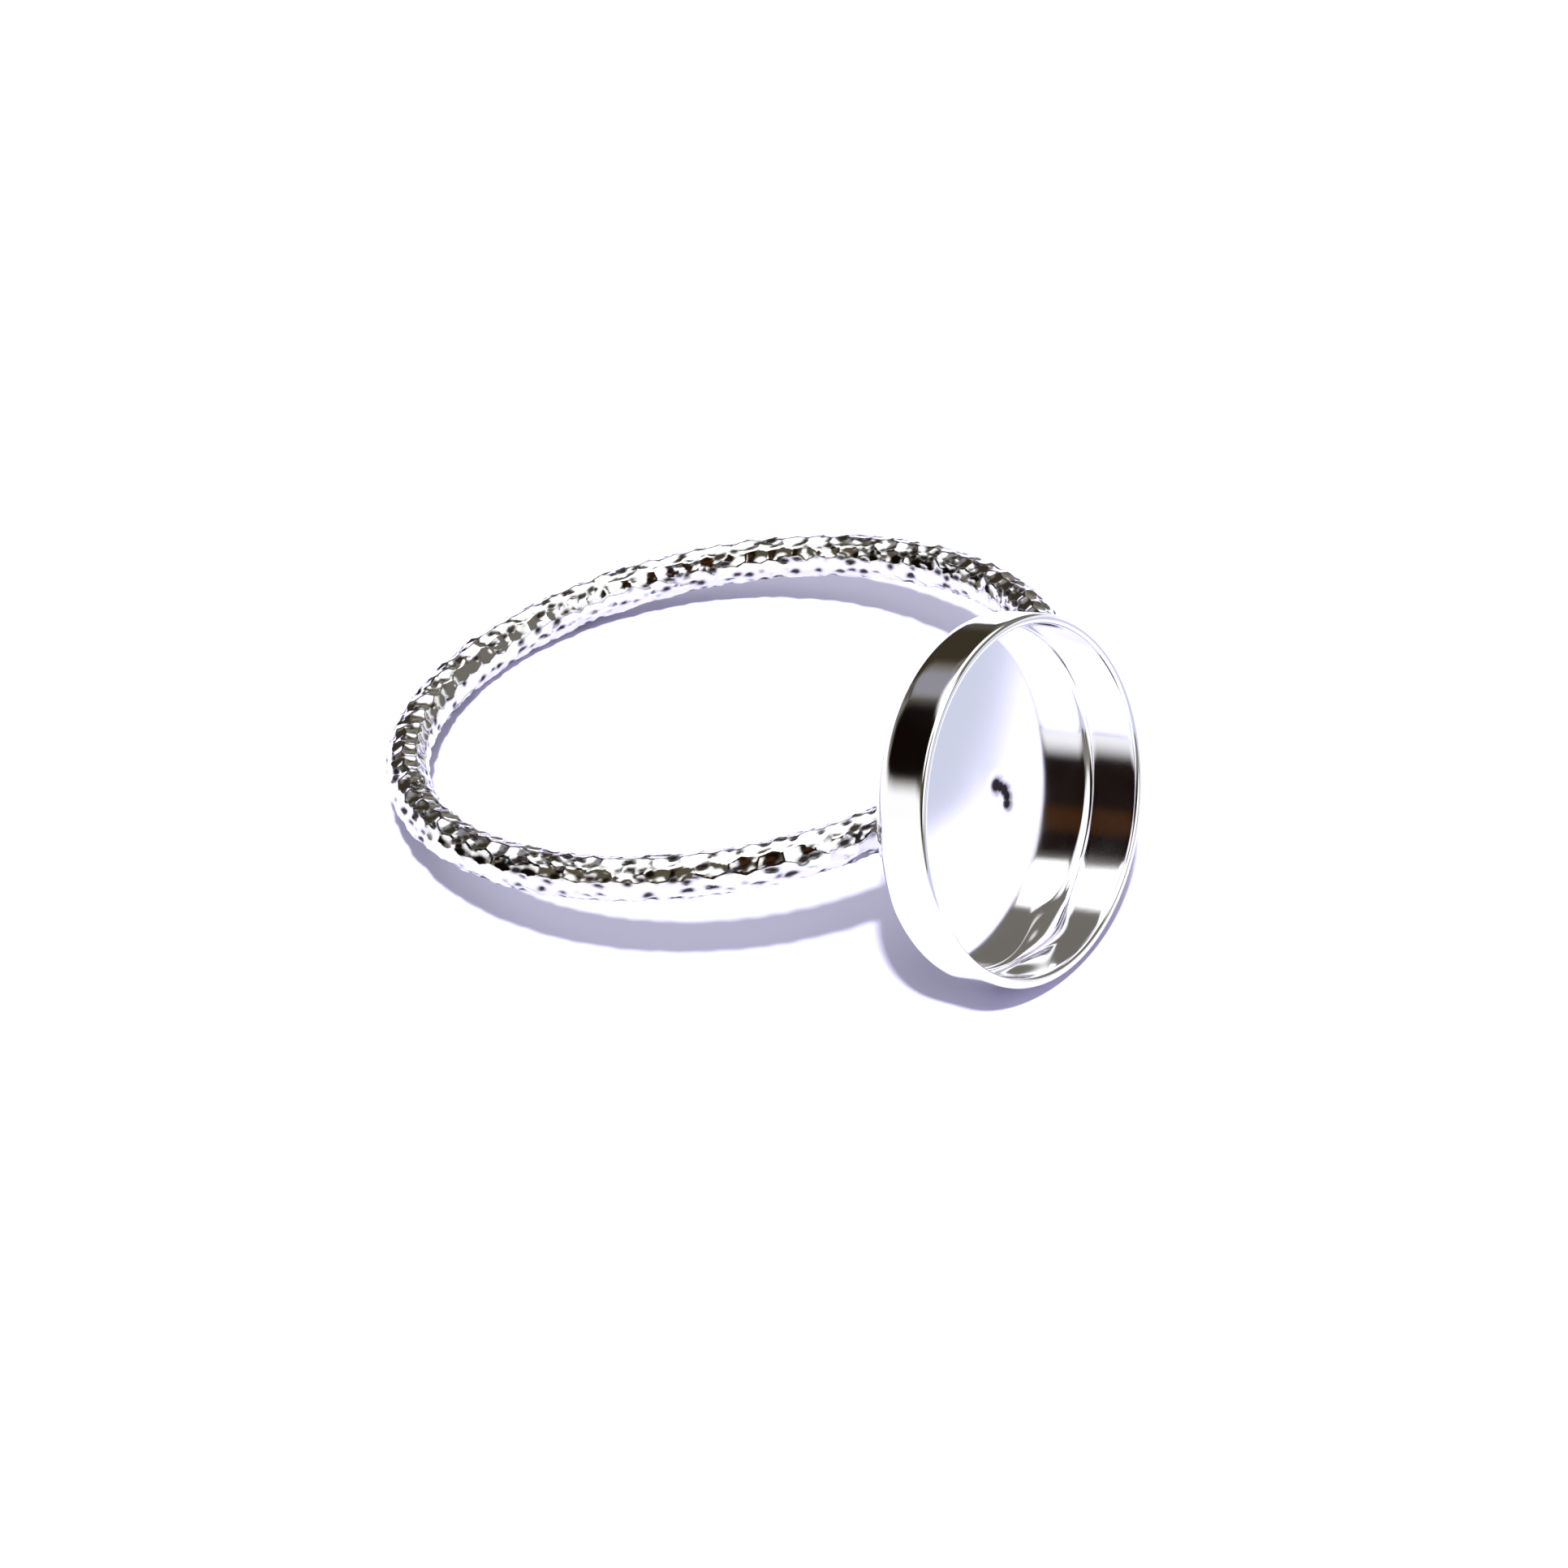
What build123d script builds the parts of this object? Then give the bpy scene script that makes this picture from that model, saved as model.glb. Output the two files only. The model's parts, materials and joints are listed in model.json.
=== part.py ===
from build123d import *
import math
import os

# Ring blank with a bezel cup: a band of faceted round wire, lying on its side as it rests on a table.
# Millimetres. While it is built, the band's centre is the origin, its hole runs along Z and the cup is at +X.

# Band
FINGER_D = 18.2            # inside diameter of the band, about a US size 8
WIRE_D = 1.4               # band wire, across the points of its facets
FACET_PITCH = 0.80         # one pointed facet to the next, along the band
FACET_ROWS = 10            # rows of facets round the wire
FACET_DEPTH = 0.06         # how deep the grooves between the points are

# Bezel cup
STONE_D = 10.0             # round flat-backed stone that the cup takes
STONE_PLAY = 0.2           # how much wider the cup is than the stone
CUP_WALL = 0.3             # thickness of the cup's wall
CUP_FLOOR = 0.25           # thickness of its floor
CUP_H = 2.0                # back of the floor to the rim
CUP_BEND_R = 0.2           # inside bend between the floor and the wall
CUP_HEEL_R = 0.75          # rounding of the cup's back edge
RIM_ROUND = 0.06           # rounding of the rim's two edges
PIP_D = 0.7                # small dent in the floor
PIP_DEPTH = 0.06
PIP_SLIDE = 0.65           # off the floor's middle, along the band
PIP_DROP = 0.23            # and across it, downwards

# Where the cup sits on the band: it is soldered on a little off centre and leaning
CUP_SLIDE = -1.5           # along the band
CUP_SHIFT = -0.35          # across the band
CUP_LEAN = 5.5             # degrees, its mouth towards the band's upper side
SEAT_CUT = 0.4             # how much of the band's outside is filed flat for the cup

# Solder joint
SOLDER_LENGTH = 6.0        # along the band
SOLDER_WIDTH = 1.7         # across the band
SOLDER_H = 0.3             # from the cup's back towards the band

REST_STEPS = 60            # halvings and steps in the search for the pose at rest

wire_r = WIRE_D / 2
band_r = FINGER_D / 2 + wire_r
cup_bore_r = (STONE_D + STONE_PLAY) / 2
cup_r = cup_bore_r + CUP_WALL


def faceted_band():
    """Ring of pointed facets: points of the grid stand high and low in turn, and low ones join."""
    steps = 2 * round(math.pi * 2 * band_r / FACET_PITCH)
    rows = 2 * max(2, FACET_ROWS // 2)

    def point(i, j):
        along = 2 * math.pi * i / steps
        round_wire = 2 * math.pi * (j + 0.5) / rows
        r = wire_r if (i + j) % 2 == 0 else wire_r - FACET_DEPTH
        out = band_r + r * math.cos(round_wire)
        return Vector(out * math.cos(along), out * math.sin(along), r * math.sin(round_wire))

    grid = [[point(i, j) for j in range(rows)] for i in range(steps)]
    facets = []
    for i in range(steps):
        for j in range(rows):
            a = grid[i][j]
            b = grid[(i + 1) % steps][j]
            c = grid[(i + 1) % steps][(j + 1) % rows]
            d = grid[i][(j + 1) % rows]
            # the crease runs between the square's two low points
            corners = [(a, b, d), (b, c, d)] if (i + j) % 2 == 0 else [(a, b, c), (a, c, d)]
            facets += [Face(Wire.make_polygon(three, close=True)) for three in corners]
    return Solid(Shell(facets))


def cup():
    """Cup turned about Z, its back at z = 0 and its mouth up."""
    outline = Polyline(
        (0, 0),
        (cup_r, 0),
        (cup_r, CUP_H),
        (cup_bore_r, CUP_H),
        (cup_bore_r, CUP_FLOOR),
        (0, CUP_FLOOR),
        close=True,
    )
    section = make_face(outline)
    rounded = [
        ((cup_r, 0), CUP_HEEL_R),
        ((cup_bore_r, CUP_FLOOR), CUP_BEND_R),
        ((cup_r, CUP_H), RIM_ROUND),
        ((cup_bore_r, CUP_H), RIM_ROUND),
    ]
    for corner, radius in rounded:
        section = fillet(section.vertices().sort_by_distance(corner)[0], radius)
    turned = revolve(Plane.XZ * section, Axis.Z)
    pip_r = (PIP_D / 2) ** 2 / (2 * PIP_DEPTH) + PIP_DEPTH / 2
    return turned - Pos(PIP_DROP, PIP_SLIDE, CUP_FLOOR - PIP_DEPTH + pip_r) * Sphere(pip_r)


def solder():
    """Pad between the cup's back and the band, round the flat that is filed on the band."""
    pad = extrude(Ellipse(SOLDER_WIDTH / 2, SOLDER_LENGTH / 2), SOLDER_H + CUP_FLOOR / 2)
    return Pos(0, 0, CUP_FLOOR / 2) * Rot(180, 0, 0) * pad


# a plane at the middle of the cup's back: its Z points out of the mouth, its Y along the band
touch = Pos(band_r + wire_r - SEAT_CUT, 0, 0) * Rot(0, 90 - CUP_LEAN, 0)
seat = touch * Pos(-CUP_SHIFT, CUP_SLIDE, 0)

# what the file takes off the band, down to the middle of the cup's floor
filed = seat * Pos(0, 0, CUP_FLOOR / 2) * extrude(Circle(cup_r), CUP_H)
head = seat * cup() + touch * solder()
blank = (faceted_band() - filed) + head


def rest_pose(body):
    """Pitch and roll, in degrees, in which the ring lies with its middle of mass lowest."""
    middle = body.center(CenterOf.MASS)
    back = Plane(seat).origin
    out = Plane(seat).z_dir
    heel_r = cup_r - CUP_HEEL_R

    def heights(pitch, roll):
        up = Vector(math.cos(roll) * math.sin(pitch), math.sin(roll), math.cos(roll) * math.cos(pitch))
        level = middle.dot(up)
        band = level + band_r * math.hypot(up.X, up.Y) + wire_r
        slant = math.sqrt(max(0, 1 - out.dot(up) ** 2))
        rim = level - (back + out * (CUP_H - RIM_ROUND)).dot(up) + cup_r * slant
        heel = level - (back + out * CUP_HEEL_R).dot(up) + heel_r * slant + CUP_HEEL_R
        return band, max(rim, heel)

    def pitch_at(roll):
        low, high = 0, math.pi / 4
        for _ in range(REST_STEPS):
            mid = (low + high) / 2
            band, rim = heights(mid, roll)
            low, high = (mid, high) if rim > band else (low, mid)
        return low

    best = 0
    step = math.radians(2)
    for _ in range(REST_STEPS):
        rolls = (best - step, best, best + step)
        lowest = min(rolls, key=lambda roll: max(heights(pitch_at(roll), roll)))
        step = step if lowest != best else step / 2
        best = lowest
    return math.degrees(pitch_at(best)), math.degrees(best)


pitch, roll = rest_pose(blank)
lying = Rot(roll, 0, 0) * Rot(0, -pitch, 0) * blank
box = lying.bounding_box()
stand = Pos(-box.center().X, -box.center().Y, -box.min.Z)
ring_blank = stand * lying

os.makedirs("parts", exist_ok=True)
export_step(ring_blank, "parts/ring_blank.step")
print(f"pitch {pitch:.3f}, roll {roll:.3f}, {ring_blank.volume:.2f} mm3")
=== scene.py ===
"""Ring blank with a bezel cup, lying on a white table.
It has a band of sparkle wire, a polished cup and the solder between them."""

import json
import math

import bpy
import numpy as np
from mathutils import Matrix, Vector


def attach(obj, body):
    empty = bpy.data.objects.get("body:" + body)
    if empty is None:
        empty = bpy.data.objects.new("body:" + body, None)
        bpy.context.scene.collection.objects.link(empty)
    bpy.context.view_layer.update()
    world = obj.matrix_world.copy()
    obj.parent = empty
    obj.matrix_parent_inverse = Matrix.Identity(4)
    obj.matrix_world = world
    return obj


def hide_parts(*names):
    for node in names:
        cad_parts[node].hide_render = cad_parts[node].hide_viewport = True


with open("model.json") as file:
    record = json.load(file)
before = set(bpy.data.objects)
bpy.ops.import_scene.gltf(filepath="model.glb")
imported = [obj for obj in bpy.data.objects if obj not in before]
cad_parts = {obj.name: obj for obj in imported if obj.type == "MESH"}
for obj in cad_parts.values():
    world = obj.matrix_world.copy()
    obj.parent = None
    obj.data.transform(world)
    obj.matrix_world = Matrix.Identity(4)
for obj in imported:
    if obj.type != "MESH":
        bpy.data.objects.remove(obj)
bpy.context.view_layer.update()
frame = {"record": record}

MM = 0.001

# Band
FINGER_D = 18.2 * MM
WIRE_D = 1.4 * MM
FACET_PITCH = 0.80 * MM
FACET_ROWS = 10
FACET_SCOOP = 0.055 * MM   # how far a facet is hollowed, from its middle to its two ends
FACET_HOLLOW = 1.5         # how curved a facet is across the wire: 1 would be flat, more is hollow
CREST_INSET = 0.01 * MM    # the highest ridges stay this far inside the wire's outside
STEPS_PER_FACET = 8        # mesh steps along half a facet, and round the wire over a whole one

# How far each cut strays by chance. Places are in counts: a facet is 2 counts long along the wire, and a row
# of them is 1 count wide round it.
CHANCE_SEED = 11
STRAY_ALONG = 0.12
STRAY_ROUND = 0.05
STRAY_TILT = 0.03 * MM     # rise over a count along the wire
STRAY_DEPTH = 0.006 * MM

# Small pits where three facets meet. Each second value is how far the first one varies.
PIT_DEPTH = 0.075 * MM
PIT_FILL, PIT_FILL_STRAY = 0.48, 0.65   # share of the full depth
PIT_LONG, PIT_LONG_STRAY = 0.36, 0.16   # half length along the wire, in counts
PIT_WIDE, PIT_WIDE_STRAY = 0.22, 0.08   # half width round the wire, in counts
PIT_SHIFT_ALONG = 0.28     # how far its middle varies, in counts
PIT_SHIFT_ROUND = 0.12
PIT_SLANT = 0.2            # how far it slants, in counts round the wire to a count along it
PIT_TARNISH = 2.6          # how dark and dull the pits are made: this times the pit's share of depth to the power below, at most 1
PIT_TARNISH_EDGE = 1.6

# Cup
BORE_R = 5.1 * MM
CUP_WALL = 0.3 * MM
CUP_FLOOR = 0.25 * MM
CUP_H = 2.0 * MM
CUP_BEND_R = 0.2 * MM
CUP_HEEL_R = 0.75 * MM
RIM_ROUND = 0.13 * MM
BORE_END = 0.06 * MM       # the mount's bore ends this far below the rim
FLOOR_CROWN = 0.05 * MM    # the floor stands a little proud at its middle, from the soldering
FLOOR_RIPPLE = 0.004 * MM
SLACK = 2.8                # along a short stretch, low in the cup, the bend is wider by this times its radius
SLACK_ANGLE = 280.0        # that stretch's middle, in degrees from the side upwards
SLACK_SPREAD = 13.0        # and its half length
CUP_AROUND = 288           # mesh steps round the cup
PIP_ZONE = 1.3 * MM        # the mesh of the floor is finer inside this radius
FLOOR_STEPS = 22           # mesh steps over the floor outside that radius
PIP_STEPS = 40             # and inside it

# Sway of the cup's wall: height of a wave in mm, waves round the cup and where it starts
SWAY = (
    (0.012, 2, 0.7),
    (0.006, 3, 2.0),
    (0.003, 7, 0.0),
)

# Small comma in the floor, as a row of round dents: middle to the side and upwards, half width and
# half height, all in mm, and depth as a share of the full one
PIP = (
    (0.50, 0.12, 0.22, 0.20, 1.0),
    (0.66, -0.02, 0.17, 0.16, 1.0),
    (0.80, -0.20, 0.17, 0.19, 1.0),
    (0.84, -0.42, 0.15, 0.19, 1.0),
    (0.76, -0.64, 0.17, 0.16, 0.9),
)
PIP_DEPTH = 0.05 * MM
# How dark and dull the comma is made: this times its depth share, at most 1
PIP_TARNISH = 1.7

# Solder
SOLDER_LENGTH = 6.0 * MM
SOLDER_WIDTH = 1.7 * MM
SOLDER_H = 0.3 * MM        # from the cup's back towards the band
SOLDER_IN = 0.1 * MM       # into the cup's floor
SOLDER_FOOT = 0.22         # how much wider its foot is, as a share
SOLDER_SWEEP = 2.2         # how quickly the foot narrows
SEAT_CUT = 0.4 * MM        # how much of the band's outside is filed flat for the cup

# Metal
# Roughness where the metal is made darker
STAIN_ROUGHNESS = 0.45
MARK_SIZE = 0.12 * MM      # fine marks of polishing
MARK_STRETCH = 6.0         # they are this many times finer upwards
MARK_DEPTH = 0.004 * MM

# Camera: it looks at a point just above the table, from this azimuth, height angle and distance
AIM = (1.882 * MM, -2.137 * MM, 3.0 * MM)
CAMERA_AZIMUTH = -55.264
CAMERA_ELEVATION = 37.417
CAMERA_DISTANCE = 170 * MM
PIXELS_PER_MM = 41.763     # at the aim, in the photograph's frame
FRAME_PIXELS = 1932
SENSOR = 36.0              # width in mm

# Lamp: its direction was worked out from the shadow on the table
LAMP_AZIMUTH = -57.0
LAMP_ELEVATION = 60.0
LAMP_ANGLE = 3.0           # how wide it looks from the ring, in degrees
LAMP_STRENGTH = 5.0

# Table
TABLE_HALF = 3.0           # metres
# Edges of the painted shade on the table, which only the metal's reflections show: azimuth in which it
# begins, and where it starts and where it is full, in mm from the middle
TABLE_DIM = (
    (CAMERA_AZIMUTH + 90, 26, 31),
    (-31, 12, 16),
)

# What stands round the table, as the polished metal mirrors it. Each is a soft-edged round patch:
# azimuth, elevation, radius and soft edge in degrees, colour and strength. A later one covers an earlier one.
ROOM = (
    ("grey_wall_right", 50, 34, 36, 8, "#76736B", 1.0),
    ("olive_wall_front", -105, 34, 36, 8, "#5A5443", 1.0),
    ("dark_wall_far", 146, 13, 17, 5, "#3A3327", 1.0),
    ("dark_wall_left", -155, 31, 20, 4, "#0E0705", 1.0),
    ("dark_wall_low", -57, 24, 13, 4, "#140703", 1.0),
    ("dark_wall_middle", -59, 40, 14, 4, "#140703", 1.0),
    ("dark_wall_high", -54, 54, 12, 5, "#140703", 1.0),
    ("brown_curtain", -58, 46, 5, 5, "#3E220A", 1.0),
    ("grey_door_left", 167, 35, 8, 3, "#94939A", 1.0),
    ("window_far", 112, 55, 23, 4, "#FFFFFF", 1.4),
    ("window_left", 172, 61, 22, 4, "#FFFFFF", 1.4),
    ("window_front", -118, 55, 19, 4, "#FFFFFF", 1.3),
    ("window_right", -6, 40, 28, 3, "#FFFFFF", 1.2),
    ("lamp_overhead", 0, 90, 21.5, 2.5, "#FFFFFF", 2.2),
    ("pale_skirting_front", -105, -60, 78.7, 5, "#FFFFFF", 1.1),
    ("pale_skirting_right", 57, -60, 73, 5, "#FFFFFF", 1.0),
)

wire_r = WIRE_D / 2
band_r = FINGER_D / 2 + wire_r
cup_r = BORE_R + CUP_WALL

mounts = {m["name"]: m for m in frame["record"]["mounts"]}
band_centre = np.array(mounts["finger_hole"]["pos_m"])
band_up = np.array(mounts["finger_hole"]["axis"])
cup_out = np.array(mounts["cup_seat"]["axis"])
seat_middle = (CUP_FLOOR + CUP_BEND_R + CUP_H - BORE_END) / 2
cup_back = np.array(mounts["cup_seat"]["pos_m"]) - cup_out * seat_middle


def across(axis, near):
    """Unit vector square to the axis, as near as can be to another one."""
    side = near - axis * np.dot(near, axis)
    return side / np.linalg.norm(side)


band_out = across(band_up, cup_out)
band_along = np.cross(band_up, band_out)
cup_side = across(cup_out, band_along)
cup_up = np.cross(cup_out, cup_side)


def direction(azimuth, elevation):
    """Unit vector towards an azimuth, counted from +X to +Y, and an elevation, both in degrees."""
    a, e = math.radians(azimuth), math.radians(elevation)
    return Vector((math.cos(e) * math.cos(a), math.cos(e) * math.sin(a), math.sin(e)))


def cup_steps(x, y, h):
    """Steps to the side, upwards and out of the cup's mouth, as vectors."""
    return x[..., None] * cup_side + y[..., None] * cup_up + h[..., None] * cup_out


def surface(name, rows, material, first=None, last=None, loop=False, stain=None):
    """Mesh of a grid of points: every row is a closed ring, and one row joins the next.
    The first and the last ring close on a single point each, or on each other for a loop.
    A darkening value is kept at each point, from 0 to 1, for the material to read."""
    count, around = rows.shape[:2]
    points = rows.reshape(-1, 3)
    i = np.arange(count if loop else count - 1)[:, None]
    j = np.arange(around)[None, :]
    here, there, right = i * around, (i + 1) % count * around, (j + 1) % around
    faces = np.stack([here + j, here + right, there + right, there + j], -1).reshape(-1, 4).tolist()
    for pole, ring, turn in ((first, 0, 1), (last, count - 1, -1)):
        if pole is not None:
            tip = np.full(around, len(points))
            edge = ring * around + np.arange(around)
            faces += np.stack([tip, np.roll(edge, -1), edge], 1)[:, ::turn].tolist()
            points = np.vstack([points, pole])
    mesh = bpy.data.meshes.new(name)
    mesh.from_pydata(points.tolist(), [], faces)
    mesh.polygons.foreach_set("use_smooth", np.ones(len(faces), bool))
    kept = np.zeros(len(points), np.float32)
    kept[:count * around] = 0 if stain is None else stain.reshape(-1)
    mesh.attributes.new("stain", "FLOAT", "POINT").data.foreach_set("value", kept)
    mesh.materials.append(material)
    piece = bpy.data.objects.new(name, mesh)
    bpy.context.scene.collection.objects.link(piece)
    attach(piece, "root")
    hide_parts("ring_blank")


# Materials


def linear(hex_colour):
    """sRGB hex colour as linear red, green, blue and alpha."""
    c = np.array([int(hex_colour[k:k + 2], 16) for k in (1, 3, 5)]) / 255
    c = np.where(c <= 0.04045, c / 12.92, ((c + 0.055) / 1.055) ** 2.4)
    return (*c.tolist(), 1.0)


def add(tree, kind, settings=None, links=None):
    """Adds a node, sets its properties and sockets, and links other nodes' outputs to its sockets."""
    node = tree.nodes.new(kind)
    for key, value in (settings or {}).items():
        if isinstance(key, str) and hasattr(node, key):
            setattr(node, key, value)
        else:
            node.inputs[key].default_value = value
    for key, (other, output) in (links or {}).items():
        tree.links.new(other.outputs[output], node.inputs[key])
    return node


def new_material(name):
    """Empty material and its node tree."""
    material = bpy.data.materials.new(name)
    material.use_nodes = True
    material.node_tree.nodes.clear()
    return material, material.node_tree


def silver(name, clean, worn, stained, roughness, haze_mm, marks):
    """Silver: a clean and a slightly darker tone drift over the metal, and fine marks break up its gloss.
    Where the mesh's darkening value is high, the metal is darker and duller."""
    material, tree = new_material(name)
    place = add(tree, "ShaderNodeTexCoord")
    haze = add(tree, "ShaderNodeTexNoise", {"Scale": 1 / (haze_mm * MM), "Detail": 3.0, "Roughness": 0.55},
               {"Vector": (place, "Object")})
    tone = add(tree, "ShaderNodeMix", {"data_type": "RGBA", 6: linear(clean), 7: linear(worn)},
               {0: (haze, "Fac")})
    gloss = add(tree, "ShaderNodeMapRange",
                {"From Min": 0.3, "From Max": 0.7, "To Min": roughness[0], "To Max": roughness[1]},
                {"Value": (haze, "Fac")})
    stain = add(tree, "ShaderNodeAttribute", {"attribute_name": "stain"})
    colour = add(tree, "ShaderNodeMix", {"data_type": "RGBA", 7: linear(stained)},
                 {0: (stain, "Fac"), 6: (tone, 2)})
    dull = add(tree, "ShaderNodeMix", {"data_type": "FLOAT", 3: STAIN_ROUGHNESS},
               {0: (stain, "Fac"), 2: (gloss, "Result")})
    stretch = add(tree, "ShaderNodeMapping", {"Scale": (1.0, 1.0, MARK_STRETCH)},
                  {"Vector": (place, "Object")})
    grain = add(tree, "ShaderNodeTexNoise", {"Scale": 1 / MARK_SIZE, "Detail": 2.0},
                {"Vector": (stretch, "Vector")})
    relief = add(tree, "ShaderNodeBump", {"Strength": marks, "Distance": MARK_DEPTH},
                 {"Height": (grain, "Fac")})
    shader = add(tree, "ShaderNodeBsdfPrincipled", {"Metallic": 1.0},
                 {"Base Color": (colour, 2), "Roughness": (dull, 0), "Normal": (relief, "Normal")})
    add(tree, "ShaderNodeOutputMaterial", links={"Surface": (shader, "BSDF")})
    return material


# Diamond-cut silver wire: each facet is cut bright, so it mirrors sharply, and the metal is made darker and
# duller in the pits.
cut_silver = silver("silver_diamond_cut", clean="#F6F6F8", worn="#E6E5E6", stained="#3C352F",
                    roughness=(0.05, 0.11), haze_mm=0.9, marks=0.12)
# Drawn silver cup, barrel polished: a mirror with a faint haze that softens what it reflects.
polished_silver = silver("silver_barrel_polished", clean="#F8F8FA", worn="#F0F0F4", stained="#2E262B",
                         roughness=(0.05, 0.09), haze_mm=2.5, marks=0.08)
# Hard silver solder, pickled and rubbed over: duller than the sheet and warmer in tone.
solder_silver = silver("silver_solder_pickled", clean="#E6E2DA", worn="#CFC8BC", stained="#6A6258",
                       roughness=(0.2, 0.32), haze_mm=0.4, marks=0.4)


# Band


def sparkle_band():
    """Ring of wire with rows of hollow facets, each row half a facet on from the next.
    Along the wire and round it run two counts: a, with 2 to a facet, and b, with 1 to a row.
    A cutter that works at the middle of a facet leaves the radius low + scoop da^2 + side db^2, where da
    and db are the counts from that middle. The wire's radius is the least that the cuts near a point leave,
    so ridges stand between them. Every cut has its own small tilt, place and depth.
    Where three cuts meet, a pit is an oval bell, each with its own place, size, slant and depth."""
    steps = 2 * round(math.pi * 2 * band_r / FACET_PITCH)
    a = np.arange(steps * STEPS_PER_FACET)[:, None] / STEPS_PER_FACET
    b = np.arange(FACET_ROWS * STEPS_PER_FACET)[None, :] / STEPS_PER_FACET
    along = 2 * np.pi * a / steps
    round_wire = 2 * np.pi * (b + 0.5) / FACET_ROWS
    side = FACET_HOLLOW * wire_r * (2 * math.pi / FACET_ROWS) ** 2 / 2
    meet = (1 - FACET_SCOOP / side) / 2
    low = wire_r - CREST_INSET - FACET_SCOOP - side * meet ** 2
    chance = np.random.default_rng(CHANCE_SEED).uniform(-1, 1, (6, steps, FACET_ROWS))
    r = np.full((a.shape[0], b.shape[1]), wire_r)
    pit = np.zeros_like(r)
    for row in (-1, 0, 1):
        j = (np.floor(b) + row).astype(int)
        nearest = 2 * np.round((a - j % 2) / 2) + j % 2
        for step in (-2, 0, 2):
            i = (nearest + step).astype(int)
            c = chance[:, i % steps, j % FACET_ROWS]
            da = a - i - STRAY_ALONG * c[0]
            db = b - j - 0.5 - STRAY_ROUND * c[1]
            cut = low + STRAY_DEPTH * c[3] + FACET_SCOOP * da ** 2 + side * db ** 2 + STRAY_TILT * c[2] * da
            r = np.minimum(r, cut)
            past = a - i - 1
            for end, luck, drift in ((meet, c[4], c[2]), (-meet, c[5], c[0])):
                far = (past - PIT_SHIFT_ALONG * drift) / (PIT_LONG + PIT_LONG_STRAY * luck)
                off = b - j - 0.5 - end - PIT_SHIFT_ROUND * c[1] - PIT_SLANT * drift * past
                off = off / (PIT_WIDE + PIT_WIDE_STRAY * drift)
                fill = (PIT_FILL + PIT_FILL_STRAY * luck).clip(0)
                pit = np.maximum(pit, fill * np.exp(-far ** 2 - off ** 2))
    r = r - PIT_DEPTH * pit
    out = (band_r + r * np.cos(round_wire))[..., None]
    spoke = np.cos(along)[..., None] * band_out + np.sin(along)[..., None] * band_along
    points = band_centre + out * spoke + (r * np.sin(round_wire))[..., None] * band_up
    # filed flat under the cup, down to the middle of its floor
    over = (points - cup_back) @ cup_out - CUP_FLOOR / 2
    points -= over.clip(0)[..., None] * cup_out
    # the metal is made darker and duller in the pits, more so where they are deeper
    tarnish = (PIT_TARNISH * pit ** PIT_TARNISH_EDGE).clip(0, 1)
    surface("sparkle_band", points, cut_silver, loop=True, stain=tarnish)


# Cup


def spread(r, h):
    """Radius and height of some rows of the section, given once or for every angle, at every angle."""
    shape = (len(r), CUP_AROUND)
    return np.stack([np.broadcast_to(r, shape), np.broadcast_to(h, shape)], -1)


def arc(middle_r, middle_h, radius, start, stop, count):
    """Points of an arc in the cup's section, as radius from its axis and height above its back."""
    turn = np.radians(np.linspace(start, stop, count))[:, None]
    return spread(middle_r + radius * np.cos(turn), middle_h + radius * np.sin(turn))


def line(start, stop, count):
    """Points of a straight run in the cup's section, without its two ends."""
    t = np.linspace(0, 1, count + 2)[1:-1, None]
    return spread(start[0] * (1 - t) + stop[0] * t, start[1] * (1 - t) + stop[1] * t)


def pip(x, y):
    """Comma-shaped dent in the floor, from 0 outside it to 1 at its deepest: the highest of a few bells."""
    deep = 0 * x
    for at_x, at_y, wide, high, depth in PIP:
        bell = np.exp(-((x / MM - at_x) / wide) ** 2 - ((y / MM - at_y) / high) ** 2)
        deep = np.maximum(deep, depth * bell)
    return deep


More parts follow.
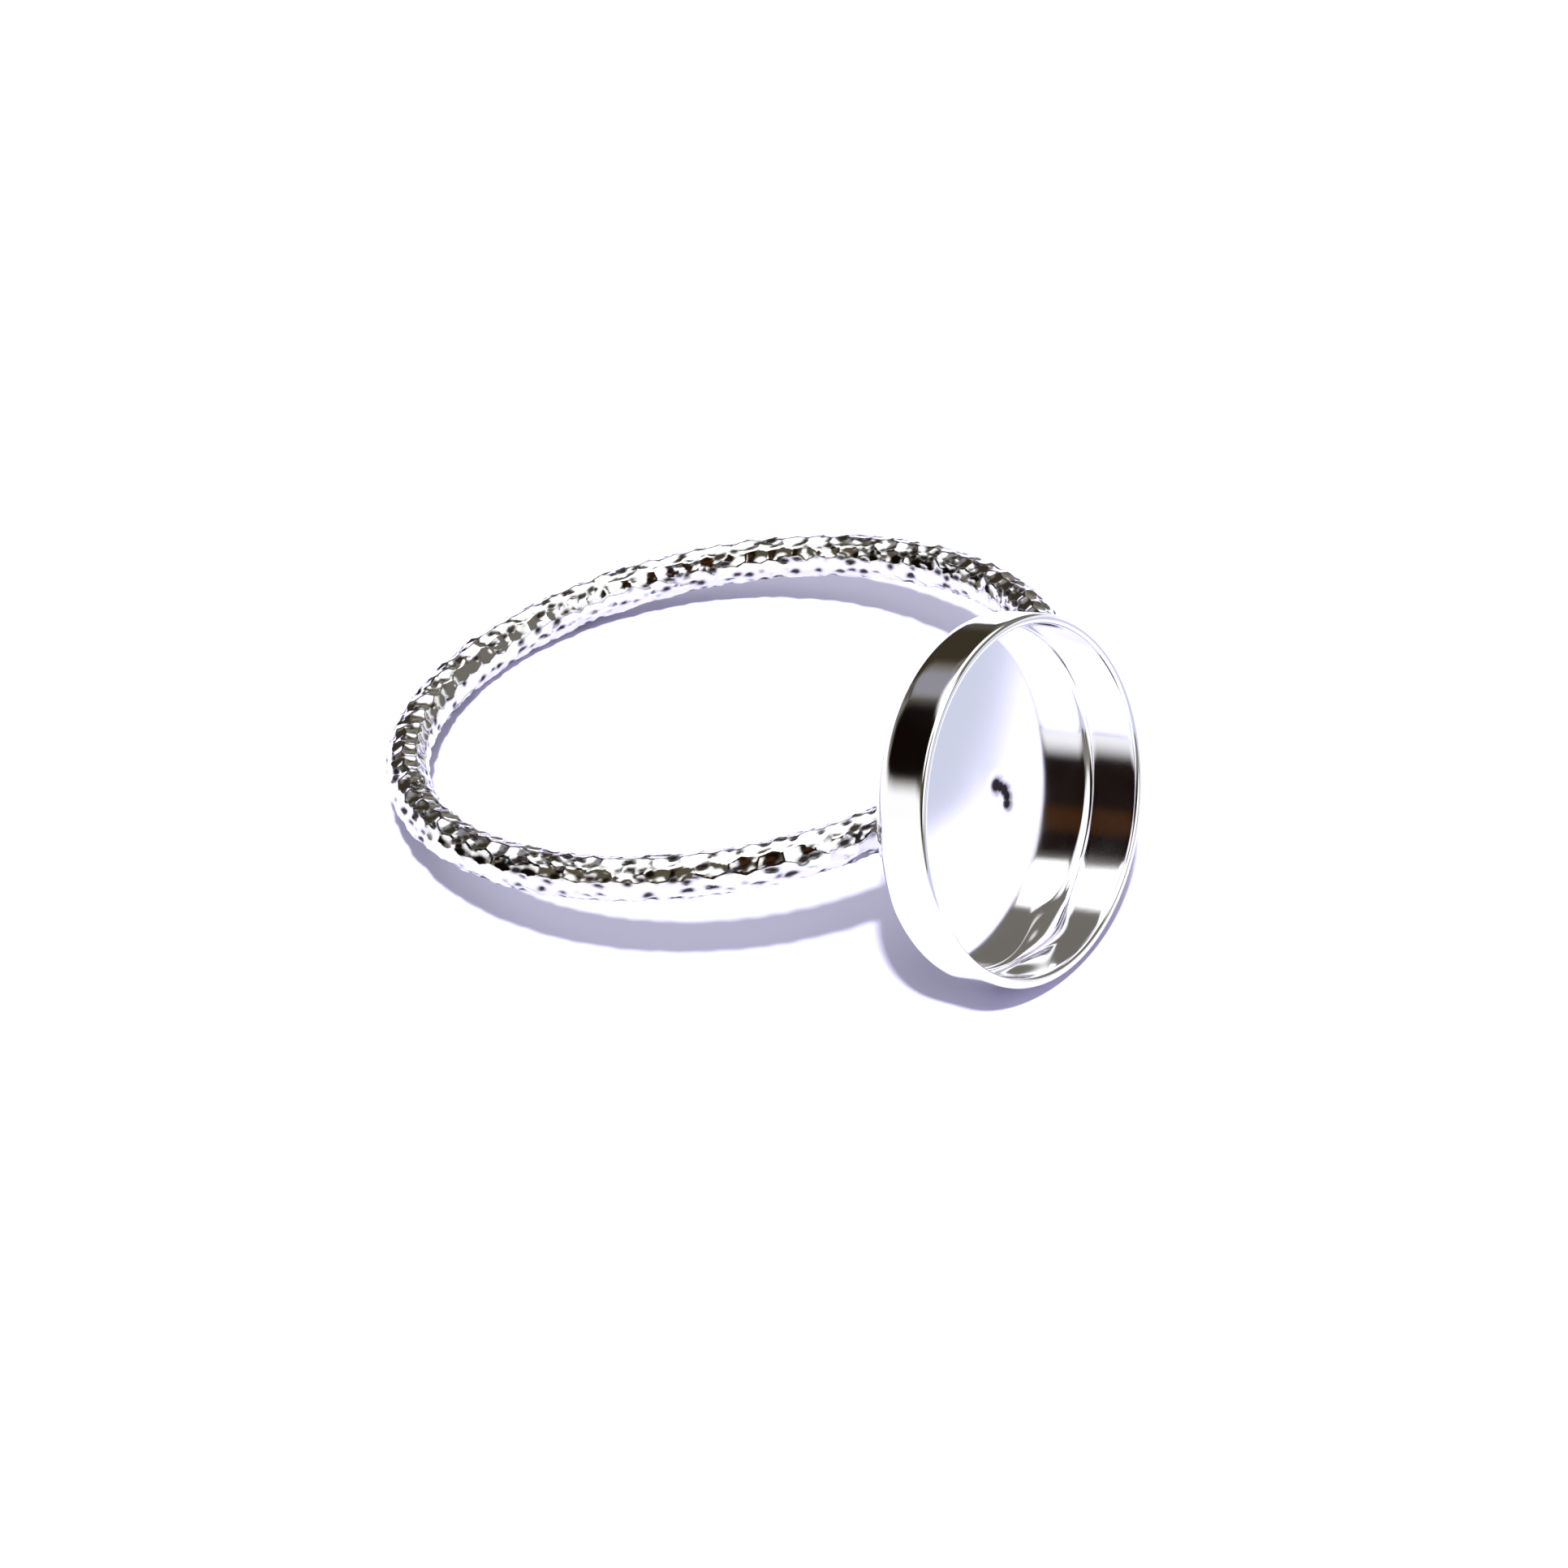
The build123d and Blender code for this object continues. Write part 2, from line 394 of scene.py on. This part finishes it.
def bezel_cup():
    """The cup's section turned about its axis: back, rounded heel, wall, rim, inner wall, bend and floor.
    The wall's radius and the floor's height vary very slightly with the angle, as on drawn sheet.
    The bend's radius is larger along a short stretch, by a bell of the angle.
    The floor rises to its middle, and the comma is taken off it."""
    turn = np.linspace(0, 2 * np.pi, CUP_AROUND, endpoint=False)[None, :]
    slack = np.exp(-((np.degrees(turn) - SLACK_ANGLE) / SLACK_SPREAD) ** 2)
    bend = CUP_BEND_R * (1 + SLACK * slack)
    top = CUP_H - RIM_ROUND
    heel = cup_r - CUP_HEEL_R
    section = np.vstack([
        line((0, 0), (heel, 0), 14),
        arc(heel, CUP_HEEL_R, CUP_HEEL_R, -90, 0, 14),
        line((cup_r, CUP_HEEL_R), (cup_r, top), 5),
        arc(cup_r - RIM_ROUND, top, RIM_ROUND, 0, 90, 6),
        arc(BORE_R + RIM_ROUND, top, RIM_ROUND, 90, 180, 6),
        line((BORE_R, top), (BORE_R, CUP_FLOOR + bend), 10),
        arc(BORE_R - bend, CUP_FLOOR + bend, bend, 0, -90, 9),
        line((BORE_R - bend, CUP_FLOOR), (PIP_ZONE, CUP_FLOOR), FLOOR_STEPS),
        line((PIP_ZONE, CUP_FLOOR), (0, CUP_FLOOR), PIP_STEPS),
    ])
    r, h = section[..., 0], section[..., 1]
    in_floor = np.arange(len(section))[:, None] >= len(section) - FLOOR_STEPS - PIP_STEPS
    sway = sum(high * np.sin(waves * turn + start) for high, waves, start in SWAY)
    r = r + (r / cup_r) ** 4 * sway * MM
    foot = BORE_R - CUP_BEND_R
    crown = FLOOR_CROWN * (1 - (r / foot) ** 2).clip(0)
    ripple = FLOOR_RIPPLE * np.sin(2 * turn + 1) * (r / foot) * (1 - r / foot).clip(0) * 4
    x, y = r * np.cos(turn), r * np.sin(turn)
    comma = in_floor * pip(x, y)
    h = h + in_floor * (crown + ripple) - PIP_DEPTH * comma
    middle = cup_back + cup_out * (CUP_FLOOR + FLOOR_CROWN)
    # the comma in the floor is also made darker and duller
    surface("bezel_cup", cup_back + cup_steps(x, y, h), polished_silver, first=cup_back, last=middle,
            stain=(PIP_TARNISH * comma).clip(0, 1))


# Solder


def solder_joint():
    """Oval collar between the band and the cup's back: its side sweeps in from a wide foot to the wire,
    as a power of the height, with a slight wave round it."""
    turn = np.linspace(0, 2 * np.pi, 96, endpoint=False)[None, :]
    t = np.linspace(0, 1, 18)[:, None]
    wave = 0.02 * np.sin(5 * turn + 2 * t) + 0.015 * np.sin(3 * turn + 1)
    grow = 1 + SOLDER_FOOT * (1 - t) ** SOLDER_SWEEP + wave
    touch = band_centre + band_out * (band_r + wire_r - SEAT_CUT)
    x = SOLDER_LENGTH / 2 * grow * np.sin(turn)
    y = SOLDER_WIDTH / 2 * grow * np.cos(turn)
    h = SOLDER_IN - t * (SOLDER_IN + SOLDER_H) + 0 * turn
    rows = touch + cup_steps(x, y, h)
    surface("solder_joint", rows[:, ::-1], solder_silver,
            first=touch + cup_out * SOLDER_IN, last=touch - cup_out * SOLDER_H)


sparkle_band()
bezel_cup()
solder_joint()


# Table, light and camera


def table():
    """Wide sheet of pale lilac card under the ring. Only in the metal's reflections, the card is painted
    darker from about 3 cm to the right, outside the picture. This painted shade gives the reflection in the
    cup's floor its lilac tone."""
    material, tree = new_material("white_card_matt")
    place = add(tree, "ShaderNodeTexCoord")
    edges = []
    for azimuth, start, stop in TABLE_DIM:
        reach = add(tree, "ShaderNodeVectorMath", {"operation": "DOT_PRODUCT", 1: direction(azimuth, 0)},
                    {0: (place, "Object")})
        edges.append(add(tree, "ShaderNodeMapRange",
                         {"interpolation_type": "SMOOTHSTEP", "From Min": start * MM, "From Max": stop * MM},
                         {"Value": (reach, "Value")}))
    ray = add(tree, "ShaderNodeLightPath")
    # painted shade: glossy rays see the card as #9497A5 instead of #C4C2DA in this part
    dim = add(tree, "ShaderNodeMath", {"operation": "MULTIPLY"},
              {0: (edges[0], "Result"), 1: (edges[1], "Result")})
    mirrored = add(tree, "ShaderNodeMath", {"operation": "MULTIPLY"},
                   {0: (dim, "Value"), 1: (ray, "Is Glossy Ray")})
    tone = add(tree, "ShaderNodeMix", {"data_type": "RGBA", 6: linear("#C4C2DA"), 7: linear("#9497A5")},
               {0: (mirrored, "Value")})
    shader = add(tree, "ShaderNodeBsdfPrincipled", {"Roughness": 0.9, "Specular IOR Level": 0.0},
                 {"Base Color": (tone, 2)})
    add(tree, "ShaderNodeOutputMaterial", links={"Surface": (shader, "BSDF")})
    mesh = bpy.data.meshes.new("table")
    corners = [(x * TABLE_HALF, y * TABLE_HALF, 0) for x, y in ((-1, -1), (1, -1), (1, 1), (-1, 1))]
    mesh.from_pydata(corners, [], [(0, 1, 2, 3)])
    mesh.materials.append(material)
    sheet = bpy.data.objects.new("table", mesh)
    bpy.context.scene.collection.objects.link(sheet)


def key_light():
    """One soft lamp above the camera's side. The metal doesn't mirror it: what it mirrors is the room."""
    lamp = bpy.data.lights.new("key_lamp", "SUN")
    lamp.angle = math.radians(LAMP_ANGLE)
    lamp.energy = LAMP_STRENGTH
    holder = bpy.data.objects.new("key_lamp", lamp)
    holder.rotation_euler = direction(LAMP_AZIMUTH, LAMP_ELEVATION).to_track_quat("Z", "Y").to_euler()
    holder.visible_glossy = False
    bpy.context.scene.collection.objects.link(holder)


def room():
    """Olive room with drifting tones and pale and dark patches.
    The camera itself sees a plain pale sweep past the table."""
    world = bpy.data.worlds.new("room")
    bpy.context.scene.world = world
    world.use_nodes = True
    tree = world.node_tree
    tree.nodes.clear()
    place = add(tree, "ShaderNodeTexCoord")
    blotch = add(tree, "ShaderNodeTexNoise", {"Scale": 3.5, "Detail": 2.0}, {"Vector": (place, "Generated")})
    shade = add(tree, "ShaderNodeMapRange", {"From Min": 0.35, "From Max": 0.65}, {"Value": (blotch, "Fac")})
    wall = add(tree, "ShaderNodeMix", {"data_type": "RGBA", 6: linear("#3C3629"), 7: linear("#99958A")},
               {0: (shade, "Result")})
    seen = (wall, 2)
    for name, azimuth, elevation, radius, soft, tint, strength in ROOM:
        toward = add(tree, "ShaderNodeVectorMath",
                     {"operation": "DOT_PRODUCT", 1: direction(azimuth, elevation)},
                     {0: (place, "Generated")})
        patch = add(tree, "ShaderNodeMapRange",
                    {"label": name, "interpolation_type": "SMOOTHSTEP",
                     "From Min": math.cos(math.radians(radius + soft)),
                     "From Max": math.cos(math.radians(radius - soft))},
                    {"Value": (toward, "Value")})
        bright = [c * strength for c in linear(tint)[:3]] + [1.0]
        mixed = add(tree, "ShaderNodeMix", {"data_type": "RGBA", 7: bright}, {0: (patch, "Result"), 6: seen})
        seen = (mixed, 2)
    lit = add(tree, "ShaderNodeBackground", links={"Color": seen})
    plain = add(tree, "ShaderNodeBackground", {"Color": linear("#F2F2F4")})
    ray = add(tree, "ShaderNodeLightPath")
    both = add(tree, "ShaderNodeMixShader", links={0: (ray, "Is Camera Ray"), 1: (lit, 0), 2: (plain, 0)})
    add(tree, "ShaderNodeOutputWorld", links={"Surface": (both, 0)})


def camera():
    """Camera at the photograph's angle; its lens follows from the size of a millimetre in the frame."""
    lens = bpy.data.cameras.new("camera")
    lens.sensor_width = SENSOR
    lens.lens = SENSOR * PIXELS_PER_MM * CAMERA_DISTANCE / MM / FRAME_PIXELS
    lens.clip_start = 0.01
    lens.clip_end = 20
    holder = bpy.data.objects.new("camera", lens)
    back = direction(CAMERA_AZIMUTH, CAMERA_ELEVATION)
    holder.location = Vector(AIM) + back * CAMERA_DISTANCE
    holder.rotation_euler = back.to_track_quat("Z", "Y").to_euler()
    bpy.context.scene.collection.objects.link(holder)
    bpy.context.scene.camera = holder


table()
key_light()
room()
camera()
bpy.context.scene.view_settings.view_transform = "Standard"
